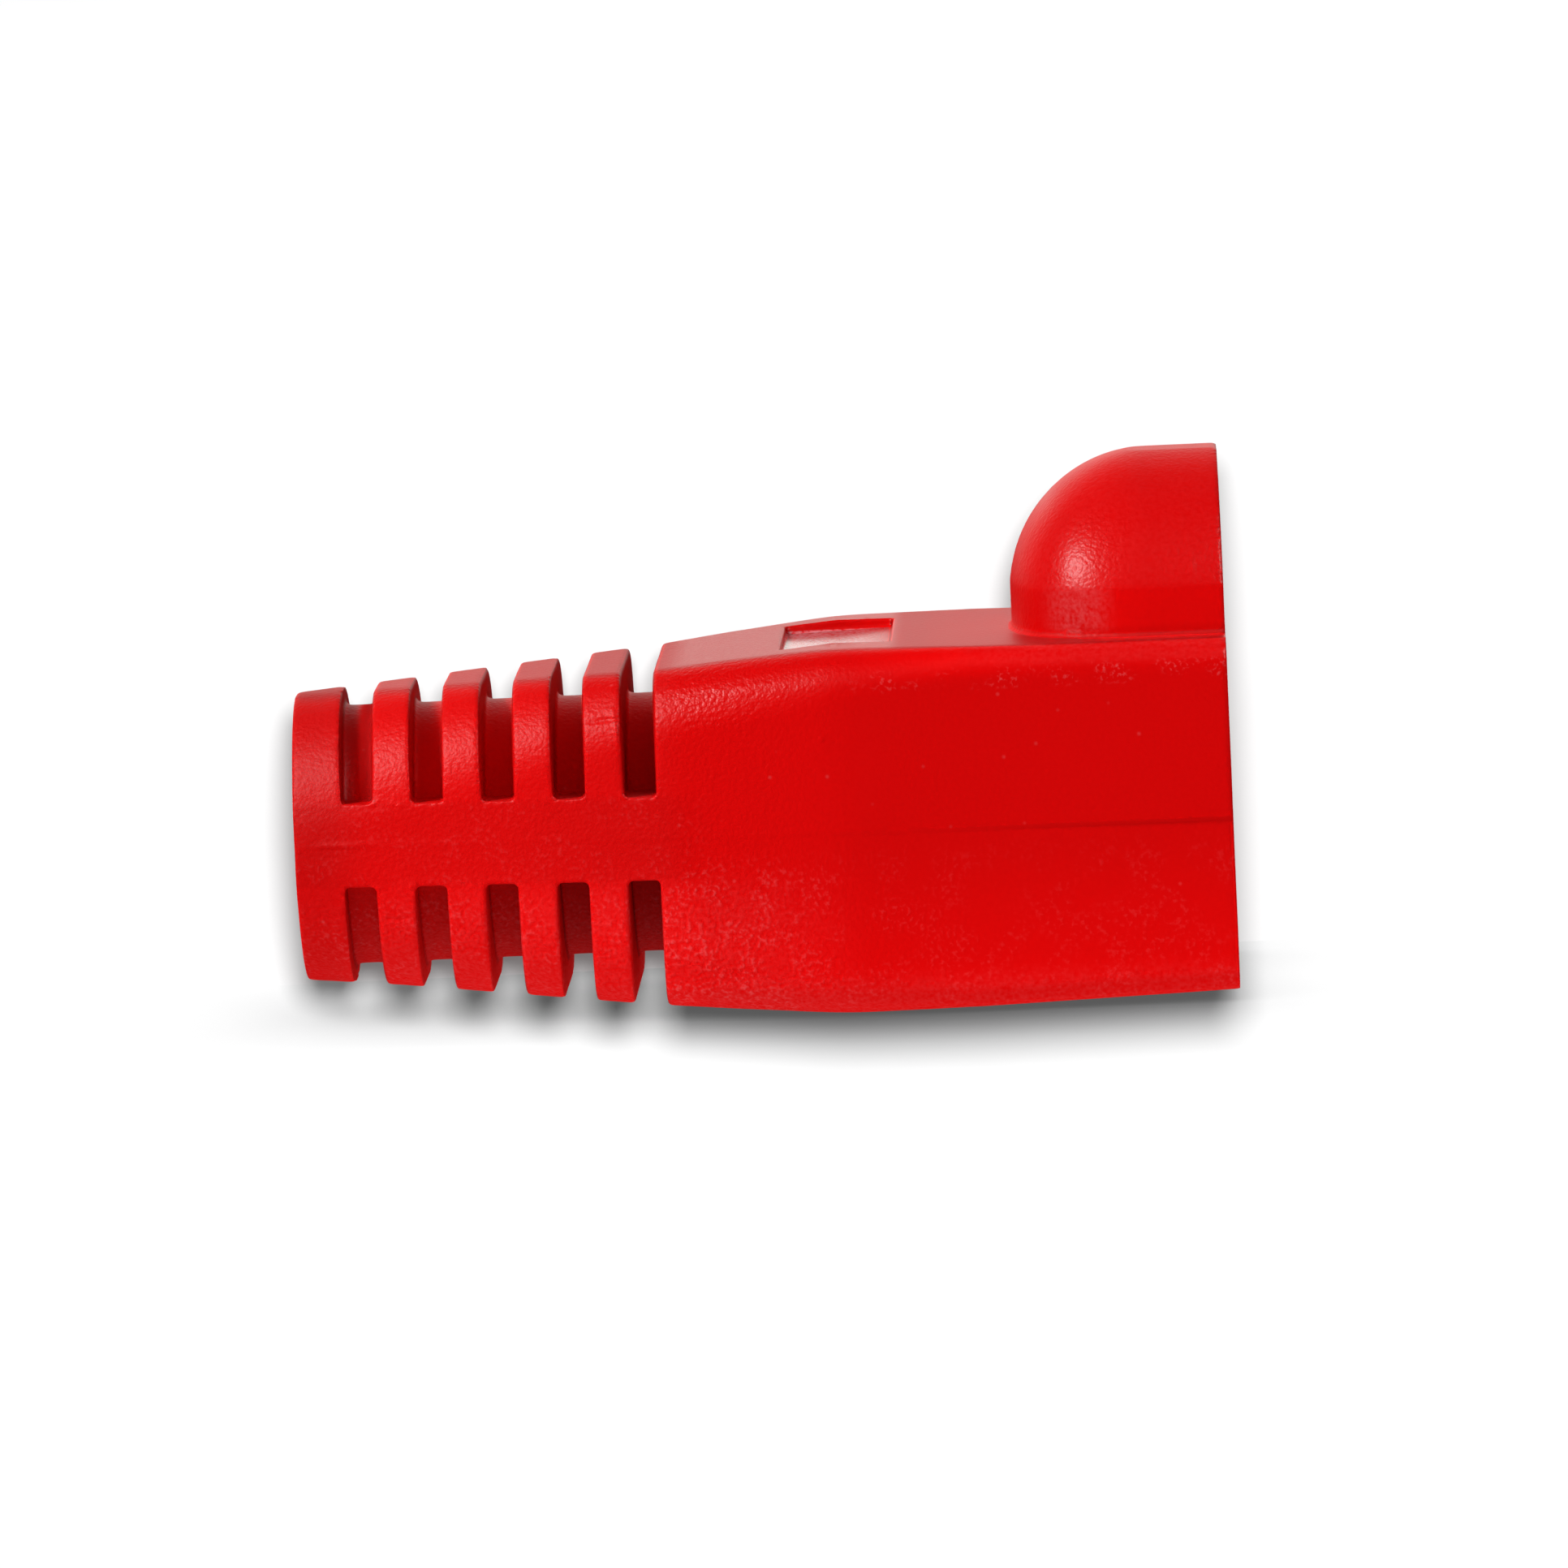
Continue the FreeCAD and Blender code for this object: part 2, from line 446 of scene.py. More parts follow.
@dataclass(frozen=True)
class MouldedPvc:
    """Finish of soft red PVC straight from the mould, with painted shading, painted sheen and painted
    sparkles laid into its colour.
    """

    colour: tuple[float, float, float] = (0.755, 0.0004, 0.0006)
    # Colour of the pale overlay: dust specks, painted sheen and painted sparkles.
    dust_and_sheen_colour: tuple[float, float, float] = (0.10, 0.58, 0.62)
    roughness: float = 0.335
    refraction: float = 1.10
    grain_height: float = 0.036
    grain_size: float = 0.13
    mottle: float = 0.09
    cloud: float = 0.035
    patch_size: float = 0.9
    speck_spacing: float = 1.2
    speck_radius: float = 0.09
    speck_strength: float = 0.06
    least_grain: float = 0.35
    grain_detail: float = 1.5
    sheen_in_grain: tuple[float, float] = (0.2, 0.8)
    sparkles_in_grain: tuple[float, float] = (0.50, 0.76)
    sparkles_in_patches: tuple[float, float] = (0.35, 0.62)
    # Painted shading: zones where the red is made lighter or darker to stand in for light and shade.
    painted_shading: tuple[Zone, ...] = (
        # Painted light: the tail made lighter towards its end, as if light passed through the thin ribs.
        Zone(0.08, (along(10.9, 5.0),)),
        # Painted shade: the ring at the tail end made darker.
        Zone(-0.20, (along(2.6, 0.6),)),
        # Painted light along the housing towards the hood, painted shade on the spine between the slots.
        Zone(0.02, (along(17.0, 24.0),)),
        Zone(-0.07, SPINE),
        # Painted light: the lower half, the underside and the lower ribs made lighter, as if lit from the
        # floor below.
        Zone(0.18, (height(0.3, -4.5),)),
        Zone(0.07, (height(-3.6, -4.6), along(10.0, 12.0))),
        Zone(0.10, (height(-1.0, -1.6), along(3.0, 10.5), along(12.5, 11.5))),
        # Painted light on the hood, painted shade on its rear.
        Zone(0.05, (ON_HOOD,)),
        Zone(-0.15, (ON_HOOD, along(25.0, 22.8))),
        # Painted shade: faces that look up made darker, more so on the top in front of the hood.
        Zone(-0.24, ON_TOP),
        Zone(-0.22, ON_TOP + (along(17.0, 19.0),)),
        # Painted shade on the hood's foot; painted light in the crease beside it and on the hood's wall.
        Zone(-0.26, HOOD_FOOT),
        Zone(0.06, BESIDE_HOOD),
        Zone(0.30, BESIDE_HOOD + (along(23.6, 24.6), Ramp(Measure.ACROSS, 6.15, 5.85))),
        Zone(0.07, (height(5.65, 5.85), height(7.0, 6.6), along(23.5, 25.0))),
        # Painted light along the top edge of the shoulder, painted shade along it beside the hood.
        Zone(0.28, (height(4.3, 5.2), height(5.6, 5.5), along(15.0, 20.0))),
        Zone(-0.15, (height(4.3, 5.2), height(5.6, 5.5), along(20.5, 24.5))),
        # Painted shade and light in the tail's slots: darker low down and at the first rib, lighter in the
        # upper slots near the middle.
        Zone(-0.02, IN_SLOTS),
        Zone(0.22, IN_SLOTS + (UPPER, along(2.5, 7.0))),
        Zone(-0.32, IN_SLOTS + (LOWER, along(4.0, 9.0))),
        Zone(-0.32, IN_SLOTS + (UPPER, along(1.95, 2.25), along(3.5, 3.2))),
        Zone(-0.10, IN_SLOTS + (along(9.0, 3.0),)),
        Zone(-0.15, IN_SLOTS + (height(-1.0, -1.6),)),
        # Painted shade on the ribs' side faces, between the ribs.
        Zone(-0.30, RIB_SIDES),
        # Painted shade on the pocket's far wall.
        Zone(-0.60, IN_POCKET + (along(17.6, 17.8), Ramp(Measure.ENDWAYS, 0.3, 0.6))),
    )
    # Painted sheen: pale veils that stand in for light reflected off the surface.
    painted_sheens: tuple[Zone, ...] = (
        # Painted sheen on the lower side near the shoulder, less of it low on the tail, and along the
        # bottom edge.
        Zone(0.022, (height(-0.6, -2.4), along(17.5, 12.5))),
        Zone(-0.014, (height(-0.6, -2.4), along(4.0, 0.8))),
        Zone(0.022, (height(-3.9, -4.7), along(11.0, 14.0))),
        # Painted sheen on the hood's top, beside its foot and along the housing's top edge.
        Zone(0.008, (height(6.7, 7.2),)),
        Zone(0.016, BESIDE_HOOD),
        Zone(0.016, (height(4.7, 5.2), height(5.46, 5.43), along(19.0, 22.0))),
        # Painted highlight: a streak down the near wall of the hood.
        Zone(0.085, (NEAR_SIDE, height(5.5, 5.8), height(7.2, 6.6), along(22.4, 23.4), along(24.9, 23.9))),
        # Painted reflection: the pocket floor made pale.
        Zone(0.50, POCKET_FLOOR),
    )
    # Painted sparkles: bright flecks that stand in for glints of light on the grain.
    painted_sparkles: tuple[Zone, ...] = (
        Zone(0.06, (height(-0.2, -1.6), along(19.0, 12.5), along(10.6, 11.4))),
        Zone(0.018, SPINE),
        Zone(0.035, (along(12.0, 11.0), height(-1.1, -2.0))),
        Zone(0.020, (height(0.0, -1.5), along(15.0, 19.0))),
        Zone(0.09, (height(4.15, 4.45), height(4.95, 4.7), along(16.0, 18.5))),
    )
    glosses: tuple[Zone, ...] = (
        Zone(0.105, (along(12.0, 11.0),)),
        Zone(0.09, ON_TOP + (along(17.9, 18.4),)),
        Zone(-0.015, (height(5.6, 6.2),)),
        Zone(-0.20, POCKET_FLOOR),
        Zone(0.12, (height(5.6, 6.2), along(23.0, 22.2))),
        Zone(0.08, (height(8.8, 9.8),)),
        Zone(0.45, IN_SLOTS + (UPPER, along(1.9, 2.15), along(2.8, 2.6))),
        Zone(0.05, (along(2.4, 1.2),)),
        Zone(0.20, HOOD_FOOT),
    )
    grains: tuple[Zone, ...] = (
        Zone(0.50, (along(17.5, 12.5),)),
        Zone(-0.15, (along(11.5, 10.5),)),
        Zone(0.16, (height(6.3, 7.6),)),
        Zone(-0.12, (along(2.6, 1.2),)),
        Zone(0.45, (height(-0.5, -3.0), along(21.0, 14.0))),
        Zone(-0.60, POCKET_FLOOR),
    )

    def measures(
        self, board: NodeBoard, point: bpy.types.NodeSocket
    ) -> dict[Measure, bpy.types.NodeSocket]:
        """Lays the nodes that each ramp goes by.

        Args:
            board: Where they are laid.
            point: The place on the boot, in millimetres.

        Returns:
            A socket for each measure.
        """
        place = board.split(point)
        across = board.add("ShaderNodeCombineXYZ", {"Y": place["Y"], "Z": place["Z"]}).outputs[0]
        away = board.add("ShaderNodeVectorMath", {0: across}, operation="LENGTH")
        facing = board.split(board.add("ShaderNodeNewGeometry").outputs["Normal"])
        return {
            Measure.ALONG: place["X"],
            Measure.HEIGHT: place["Z"],
            Measure.ACROSS: board.math("ABSOLUTE", place["Y"]),
            Measure.NEARWARD: board.math("MULTIPLY", place["Y"], -1.0),
            Measure.RADIUS: away.outputs["Value"],
            Measure.UPWARD: facing["Z"],
            Measure.ENDWAYS: board.math("ABSOLUTE", facing["X"]),
        }

    def total(
        self,
        board: NodeBoard,
        measured: dict[Measure, bpy.types.NodeSocket],
        base: float,
        zones: tuple[Zone, ...],
    ) -> bpy.types.NodeSocket:
        """Adds up what the zones give at each place.

        Args:
            board: Where the nodes are laid.
            measured: The socket of each measure.
            base: What holds everywhere.
            zones: What is added in each zone.

        Returns:
            The total's socket.
        """
        total = base
        for zone in zones:
            share = zone.amount
            for ramp in zone.ramps:
                part = board.ramp(measured[ramp.by], ramp.start, ramp.end)
                share = board.math("MULTIPLY", part, share)
            total = board.math("ADD", share, total)
        return total

    def dust_and_sheen(
        self,
        board: NodeBoard,
        measured: dict[Measure, bpy.types.NodeSocket],
        point: bpy.types.NodeSocket,
        bumps: bpy.types.NodeSocket,
    ) -> bpy.types.NodeSocket:
        """Lays the nodes of the pale overlay: painted sheen in broad veils, small dust specks and patches
        of painted sparkles.

        Args:
            board: Where they are laid.
            measured: The socket of each measure.
            point: The place on the boot, in millimetres.
            bumps: The grain.

        Returns:
            The socket of how pale each place is.
        """
        # Painted sheen in broad veils, broken up by the grain.
        painted_sheen = self.total(board, measured, 0.0, self.painted_sheens)
        dust_and_sheen = board.math("MULTIPLY", painted_sheen, board.ramp(bumps, *self.sheen_in_grain))
        # Specks stand where points spread evenly through space happen to touch the surface.
        spread = {"Vector": point, "Scale": 1.0 / self.speck_spacing}
        to_speck = board.add("ShaderNodeTexVoronoi", spread).outputs["Distance"]
        speck = board.ramp(to_speck, self.speck_radius / self.speck_spacing, 0.0)
        dust_and_sheen = board.math("ADD", dust_and_sheen, board.math("MULTIPLY", speck, self.speck_strength))
        # Painted sparkles: bright flecks in patches where the grain stands high, standing in for glints of
        # light on it.
        broad = {"Vector": point, "Scale": 1.0 / self.patch_size, "Detail": 0.0}
        patches = board.add("ShaderNodeTexNoise", broad).outputs["Fac"]
        in_patches = board.ramp(patches, *self.sparkles_in_patches)
        sparkle = board.math("MULTIPLY", board.ramp(bumps, *self.sparkles_in_grain), in_patches)
        sparkle = board.math("MULTIPLY", self.total(board, measured, 0.0, self.painted_sparkles), sparkle)
        return board.math("ADD", dust_and_sheen, sparkle)

    def build(self, name: str) -> bpy.types.Material:
        """Makes the material.

        Args:
            name: What to call it.

        Returns:
            The material.
        """
        material, board = blank_material(name)
        point = board.scaled(board.add("ShaderNodeTexCoord").outputs["Object"], 1.0 / MM)
        measured = self.measures(board, point)
        fine = {"Vector": point, "Scale": 1.0 / self.grain_size, "Detail": self.grain_detail}
        bumps = board.add("ShaderNodeTexNoise", fine).outputs["Fac"]
        rough = self.total(board, measured, self.least_grain, self.grains)
        uneven = board.math("MULTIPLY_ADD", rough, self.mottle, self.cloud)
        blotch = board.math("MULTIPLY", board.math("SUBTRACT", bumps, 0.5), uneven)
        # Painted shading: the red is made lighter or darker by zone, plus a random mottle.
        shade_and_mottle = board.math("ADD", self.total(board, measured, 1.0, self.painted_shading), blotch)
        body = board.scaled(self.colour, shade_and_mottle)
        # The pale overlay: dust specks, painted sheen and painted sparkles.
        dust_and_sheen_tint = board.scaled(self.dust_and_sheen_colour, self.dust_and_sheen(board, measured, point, bumps))
        colour = board.add("ShaderNodeVectorMath", {0: body, 1: dust_and_sheen_tint}, operation="ADD").outputs[0]
        relief = board.math("MULTIPLY", bumps, rough)
        bump = board.add(
            "ShaderNodeBump", {"Strength": 1.0, "Distance": self.grain_height * MM, "Height": relief}
        )
        skin = board.add(
            "ShaderNodeBsdfPrincipled",
            {
                "Base Color": colour,
                "Roughness": self.total(board, measured, self.roughness, self.glosses),
                "IOR": self.refraction,
                "Normal": bump.outputs["Normal"],
            },
        )
        board.add("ShaderNodeOutputMaterial", {"Surface": skin.outputs["BSDF"]})
        return material


# ---------------------------------------------------------------- the boot


@dataclass(frozen=True)
class Line:
    """A fine raised or sunken line on the near side, between two places given as (x, z)."""

    start: tuple[float, float]
    end: tuple[float, float]
    width: float
    rise: float
    fullness: float = 4.2

    def push(self, points: np.ndarray) -> np.ndarray:
        """How far the line pushes the surface out.

        Args:
            points: Places on the surface, one row each.

        Returns:
            The push at each place.
        """
        start = np.array(self.start)
        run = np.array(self.end) - start
        flat = points[:, [0, 2]] - start
        share = np.clip(flat @ run / (run @ run), 0.0, 1.0)
        away = np.linalg.norm(flat - share[:, None] * run, axis=1)
        # The line thins out towards both its ends.
        fade = np.sqrt(np.clip(self.fullness * share * (1.0 - share), 0.0, 1.0))
        return self.rise * fade * np.exp(-((away / self.width) ** 2))


@dataclass(frozen=True)
class Region:
    """A box-shaped part of the boot, alike on both sides of its middle."""

    from_x: float
    to_x: float
    half_width: float
    from_z: float
    to_z: float

    def holds(self, points: np.ndarray) -> np.ndarray:
        """Tells which places are in the region.

        Args:
            points: Places, one row each.

        Returns:
            True or False for each place.
        """
        x, y, z = points.T
        between = (x > self.from_x) & (x < self.to_x) & (np.abs(y) < self.half_width)
        return between & (z > self.from_z) & (z < self.to_z)


@dataclass(frozen=True)
class PartingLine:
    """Where the mould's halves met: a bead that comes and goes, with a ledge under it at the mouth."""

    height: float = 0.10
    wander: float = 0.01
    wander_length: float = 1.7
    bead_width: float = 0.06
    bead_height: float = 0.03
    bead_length: float = 2.5
    least_rise: float = 0.006
    varied_rise: float = 0.008
    mouth_rise: float = 0.050
    tail_rise: float = 0.034
    ledge_drop: float = 0.008
    mouth_drop: float = 0.075
    ledge_edge: tuple[float, float] = (0.02, -0.05)
    ledge_start: tuple[float, float] = (8.0, 14.0)
    towards_mouth: tuple[float, float] = (15.0, 27.5)
    tail_start: tuple[float, float] = (0.5, 0.9)
    tail_stop: tuple[float, float] = (2.4, 1.9)
    facing: tuple[float, float] = (0.55, 0.85)

    def push(self, points: np.ndarray, side: np.ndarray) -> np.ndarray:
        """How far the line pushes the surface out.

        Args:
            points: Places on the surface, one row each.
            side: How much each place belongs to one of the two sides, from 0 to 1.

        Returns:
            The push at each place.
        """
        x, z = points[:, 0], points[:, 2]
        lengthways = points * [1.0, 0.0, 0.0]
        varied = np.clip(waves(lengthways, self.bead_length, WaveSet.BEAD) * 0.5 + 0.5, 0.0, 1.0)
        at_mouth = smooth_step(*self.towards_mouth, x)
        at_tail = smooth_step(*self.tail_start, x) * smooth_step(*self.tail_stop, x)
        above = z - self.height - self.wander * waves(lengthways, self.wander_length, WaveSet.PARTING)
        bead = np.exp(-(((above - self.bead_height) / self.bead_width) ** 2))
        rise = self.least_rise + self.varied_rise * varied
        rise = rise + self.mouth_rise * at_mouth + self.tail_rise * at_tail
        drop = self.ledge_drop * smooth_step(*self.ledge_start, x) + self.mouth_drop * at_mouth
        return bead * side * rise - smooth_step(*self.ledge_edge, above) * side * drop


@dataclass(frozen=True)
class Burrs:
    """Torn burrs along the ends of the tail's slots."""

    size: float = 0.03
    length: float = 0.35
    reach: float = 0.10
    least: float = 0.5
    most: float = 1.5
    tail_start: tuple[float, float] = (1.2, 1.5)
    tail_stop: tuple[float, float] = (11.2, 10.9)
    facing: tuple[float, float] = (0.3, 0.7)

    def push(self, points: np.ndarray, side: np.ndarray, slot_ends: tuple[float, ...]) -> np.ndarray:
        """How far the burrs push the surface out.

        Args:
            points: Places on the surface, one row each.
            side: How much each place belongs to one of the two sides, from 0 to 1.
            slot_ends: The heights at which the slots end.

        Returns:
            The push at each place.
        """
        x, z = points[:, 0], points[:, 2]
        torn = np.clip(waves(points, self.length, WaveSet.BURRS) - self.least, 0.0, self.most)
        push = np.zeros(len(points))
        for slot_end in slot_ends:
            at_end = np.exp(-(((z - slot_end) / self.reach) ** 2))
            by_slots = at_end * smooth_step(*self.tail_stop, x) * smooth_step(*self.tail_start, x)
            push += torn * by_slots * side * self.size
        return push


@dataclass(frozen=True)
class SkinSizes:
    """How the skin is grown over the CAD body, in millimetres."""

    cell: float = 0.07
    slack: float = 0.0001
    triangles: int = 190000
    softening: int = 8
    softness_on_housing: float = 0.22
    softness_at_steps: float = 0.08
    softness_at_slot_ends: float = 0.1
    slot_end_reach: tuple[float, float] = (0.15, 1.2)
    tail_end: float = 12.5
    tail_blend: float = 1.0
    body_start: float = 11.1
    slot_ends: tuple[float, float] = (1.35, -1.15)
    pocket_rim: Region = Region(14.4, 18.4, 4.2, 4.7, 6.0)
    hood_foot: Region = Region(21.2, 29.0, 8.0, 5.1, 5.8)
    pocket: Region = Region(14.6, 18.15, 3.9, 4.9, 6.0)
    pocket_floor: tuple[float, float] = (5.3, 5.12)
    pocket_start: float = 14.7
    pocket_length: float = 3.3
    pocket_tilt: float = 0.06
    flats: tuple[float, float] = (3.9, 4.5)
    below_hood: float = 5.6
    sides_fade: tuple[float, float] = (6.3, 6.6)
    top_fade: tuple[float, float] = (4.9, 5.1)
    shoulder_end: float = 16.33
    shoulder_slopes: tuple[float, float] = (0.135, 0.091)
    shoulder_blend: float = 0.30
    ripple: float = 0.0025
    ripple_length: float = 3.2
    ripple_sunk: float = 2.0
    outward: tuple[float, float] = (0.0, 0.2)
    near_facing: tuple[float, float] = (0.2, 0.5)
    high_side_places: tuple[float, ...] = (0.0, 10.9, 13.0, 16.0, 20.0, 24.0, 28.0)
    high_side_rises: tuple[float, ...] = (0.0, 0.05, 0.09, 0.09, 0.05, 0.0, 0.0)
    low_side_places: tuple[float, ...] = (0.0, 3.0, 9.0, 10.9, 13.0, 16.3, 28.0)
    low_side_rises: tuple[float, ...] = (0.0, 0.0, -0.14, -0.17, -0.12, 0.0, 0.31)
    lines: tuple[Line, ...] = (
        Line((8.9, 3.59), (10.1, 3.72), 0.07, -0.05),
        Line((9.72, 4.0), (9.88, 2.95), 0.05, 0.04),
        Line((2.55, -2.13), (3.5, -2.16), 0.05, -0.03),
        Line((23.25, 5.57), (23.85, 5.55), 0.07, 0.04),
        Line((15.85, 2.97), (16.0, 2.93), 0.07, 0.03),
        Line((17.3, 2.93), (17.36, 2.98), 0.07, 0.03),
        Line((19.6, 0.13), (20.2, 0.15), 0.06, 0.03),
        Line((27.05, 6.9), (27.15, 7.9), 0.08, 0.015),
    )
    parting: PartingLine = PartingLine()
    burrs: Burrs = Burrs()


class BootSkin:
    """The visible boot: one moulded piece that stands for the CAD body."""

    def __init__(self, sizes: SkinSizes, finish: MouldedPvc) -> None:
        """Keeps what the piece is made from.

        Args:
            sizes: How the skin is grown.
            finish: What it is made of.
        """
        self.sizes = sizes
        self.finish = finish

    def grow(self) -> bpy.types.Object:
        """Grows the closed skin over a copy of the CAD body's mesh.

        Returns:
            The skin, with its mesh still in millimetres.
        """
        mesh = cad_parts[NODE].data.copy()
        mesh.transform(Matrix.Scale(1.0 / MM, 4))
        mesh.materials.clear()
        skin = link_to_scene(bpy.data.objects.new("boot_skin", mesh))
        cells = skin.modifiers.new("cells", "REMESH")
        cells.mode = "VOXEL"
        cells.voxel_size = self.sizes.cell
        baked(skin)
        return skin

    def soften(self, mesh: bpy.types.Mesh) -> None:
        """Rounds the edges: well on the tail, little on the housing and hardly at all at its fine steps.

        Args:
            mesh: The skin's mesh, in millimetres.

        Returns:
            Nothing.
        """
        sizes = self.sizes
        points = corners_of(mesh)
        x, z = points[:, 0], points[:, 2]
        on_tail = smooth_step(sizes.tail_end + sizes.tail_blend, sizes.tail_end - sizes.tail_blend, x)
        share = sizes.softness_on_housing + (1.0 - sizes.softness_on_housing) * on_tail
        share[sizes.pocket_rim.holds(points) | sizes.hood_foot.holds(points)] = sizes.softness_at_steps
        upper_end, lower_end = sizes.slot_ends
        away = smooth_step(*sizes.slot_end_reach, np.minimum(np.abs(z - upper_end), np.abs(z - lower_end)))
        by_slots = x < sizes.body_start
        kept = sizes.softness_at_slot_ends
        share[by_slots] *= kept + (1.0 - kept) * away[by_slots]
        relax(mesh, sizes.softening, share)

    def settle(self, mesh: bpy.types.Mesh) -> None:
        """Gives the soft moulding its slightly sloping underside and the pocket its sloping floor.

        Args:
            mesh: The skin's mesh, in millimetres.

        Returns:
            Nothing.
        """
        sizes = self.sizes
        points = corners_of(mesh)
        x, y, z = points.T
        lift = np.interp(x, sizes.low_side_places, sizes.low_side_rises) * smooth_step(*sizes.flats, -z)
        high = smooth_step(*sizes.flats, z) * (z < sizes.below_hood)
        lift += np.interp(x, sizes.high_side_places, sizes.high_side_rises) * high
        in_pocket = sizes.pocket.holds(points)
        on_floor = smooth_step(*sizes.pocket_floor, z) * in_pocket
        tilt = sizes.pocket_tilt
        lift += on_floor * (-tilt + 2.0 * tilt * (x - sizes.pocket_start) / sizes.pocket_length)
        # The end of the shoulder is blended into the straight part of the housing.
        normals = normals_of(mesh)
        ahead = (sizes.shoulder_end - x) / sizes.shoulder_blend
        bend = sizes.shoulder_blend * (np.logaddexp(0.0, ahead) - np.maximum(ahead, 0.0))
        on_side = smooth_step(*sizes.sides_fade, np.abs(y))
        outer = np.maximum(on_side, smooth_step(*sizes.top_fade, np.abs(z))) * ~in_pocket
        slope_y, slope_z = sizes.shoulder_slopes
        points[:, 1] = y - normals[:, 1] * bend * slope_y * outer
        points[:, 2] = z + lift - normals[:, 2] * bend * slope_z * outer
        move_corners(mesh, points)

    def add_mould_marks(self, mesh: bpy.types.Mesh) -> None:
        """Adds the parting line, burrs, creases and the slight unevenness of a soft moulding.

        Args:
            mesh: The skin's mesh, in millimetres.

        Returns:
            Nothing.
        """
        sizes = self.sizes
        points = corners_of(mesh)
        normals = normals_of(mesh)
        y, sideways = points[:, 1], normals[:, 1]
        outside = smooth_step(*sizes.outward, np.sign(y) * sideways)
        parted, torn = sizes.parting, sizes.burrs
        push = parted.push(points, smooth_step(*parted.facing, np.abs(sideways)) * outside)
        push += torn.push(points, smooth_step(*torn.facing, np.abs(sideways)), sizes.slot_ends)
        near = (y < 0.0) * smooth_step(*sizes.near_facing, -sideways)
        for line in sizes.lines:
            push += line.push(points) * near
        # The ripple only ever sinks the surface.
        ripple = (waves(points, sizes.ripple_length, WaveSet.RIPPLE) - sizes.ripple_sunk) * sizes.ripple
        push += np.minimum(ripple, 0.0)
        points += normals * push[:, None]
        move_corners(mesh, points)

    def keep_inside(self, mesh: bpy.types.Mesh) -> None:
        """Keeps every vertex within the box of the CAD body.

        Args:
            mesh: The skin's mesh, in millimetres.

        Returns:
            Nothing.
        """
        lowest, highest = (np.array(corner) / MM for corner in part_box(NODE))
        slack = self.sizes.slack
        move_corners(mesh, np.clip(corners_of(mesh), lowest + slack, highest - slack))

    def build(self) -> bpy.types.Object:
        """Builds and dresses the skin.

        Returns:
            The finished piece.
        """
        skin = self.grow()
        self.soften(skin.data)
        self.settle(skin.data)
        self.add_mould_marks(skin.data)
        count = sum(len(p.vertices) - 2 for p in skin.data.polygons)
        thin = skin.modifiers.new("thin", "DECIMATE")
        thin.ratio = min(1.0, self.sizes.triangles / count)
        baked(skin)
        self.keep_inside(skin.data)
        skin.data.transform(Matrix.Scale(MM, 4))
        skin.data.materials.append(self.finish.build("soft_pvc"))
        skin.data.shade_smooth()
        even = skin.modifiers.new("even", "WEIGHTED_NORMAL")
        even.keep_sharp = True
        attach(skin, BODY)
        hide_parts(NODE)
        log.info("boot_skin: %d triangles from %d", len(skin.data.polygons), count)
        return skin


# ---------------------------------------------------------------- studio


@dataclass(frozen=True)
class Viewpoint:
    """Where the picture is taken from."""

    target: tuple[float, float, float] = (14.0, 0.0, 0.0)
    distance: float = 400.0
    azimuth_deg: float = 1.5664
    elevation_deg: float = 5.9119
    roll_deg: float = 2.598
    lens: float = 304.95
    sensor: float = 36.0
    nearest_m: float = 0.01
    furthest_m: float = 20.0
    aim: tuple[float, float, float] = (14.575, 0.113, 0.943)

    def back(self) -> Vector:
        """The direction from the boot to the camera.

        Returns:
            A vector of length 1.
        """
        turn = math.radians(self.azimuth_deg)
        rise = math.radians(self.elevation_deg)
        level = math.cos(rise)
        return Vector((math.sin(turn) * level, -math.cos(turn) * level, math.sin(rise)))

    def build(self) -> bpy.types.Object:
        """Makes the camera and gives it to the scene.

        Returns:
            The camera.
        """
        place = Vector(self.target) + self.back() * self.distance
        facing = (place - Vector(self.aim)).normalized()
        data = bpy.data.cameras.new("camera")
        data.lens = self.lens
        data.sensor_width = self.sensor
        data.clip_start = self.nearest_m
        data.clip_end = self.furthest_m
        camera = link_to_scene(bpy.data.objects.new("camera", data))
        level = facing.to_track_quat("Z", "Y").to_matrix()
        turned = level @ Euler((0, 0, math.radians(-self.roll_deg))).to_matrix()
        camera.matrix_world = Matrix.Translation(place * MM) @ turned.to_4x4()
        bpy.context.scene.camera = camera
        return camera


@dataclass(frozen=True)
class Lamp:
    """One soft studio lamp: where it stands, how broad it is and how bright."""

    name: str
    towards: tuple[float, float, float]
    distance_m: float
    size_m: float
    level: float
    in_reflections: bool = True
    in_shading: bool = True

    def build(self, target: Vector, lit: list[bpy.types.Object]) -> bpy.types.Object:
        """Makes the lamp, aimed at the target.

        Args:
            target: What it is aimed at, in metres.
            lit: The only objects that it lights.

        Returns:
            The lamp.
        """
        data = bpy.data.lights.new(self.name, "AREA")
        data.shape = "DISK"
        data.size = self.size_m
        data.energy = self.level * math.pi**2 * self.distance_m**2
        lamp = link_to_scene(bpy.data.objects.new(self.name, data))
        heading = Vector(self.towards).normalized()
        lamp.location = target + heading * self.distance_m
        lamp.rotation_euler = heading.to_track_quat("Z", "Y").to_euler()
        lamp.visible_camera = False
        lamp.visible_glossy = self.in_reflections
        lamp.visible_diffuse = self.in_shading
        receivers = bpy.data.collections.new(self.name + "_lights")
        for obj in lit:
            receivers.objects.link(obj)
        lamp.light_linking.receiver_collection = receivers
        return lamp


# The ways from the boot to its lamps.
KEY_SIDE = (-0.661, -0.400, 0.635)
EDGE_SIDE = (0.50, -0.52, 0.69)


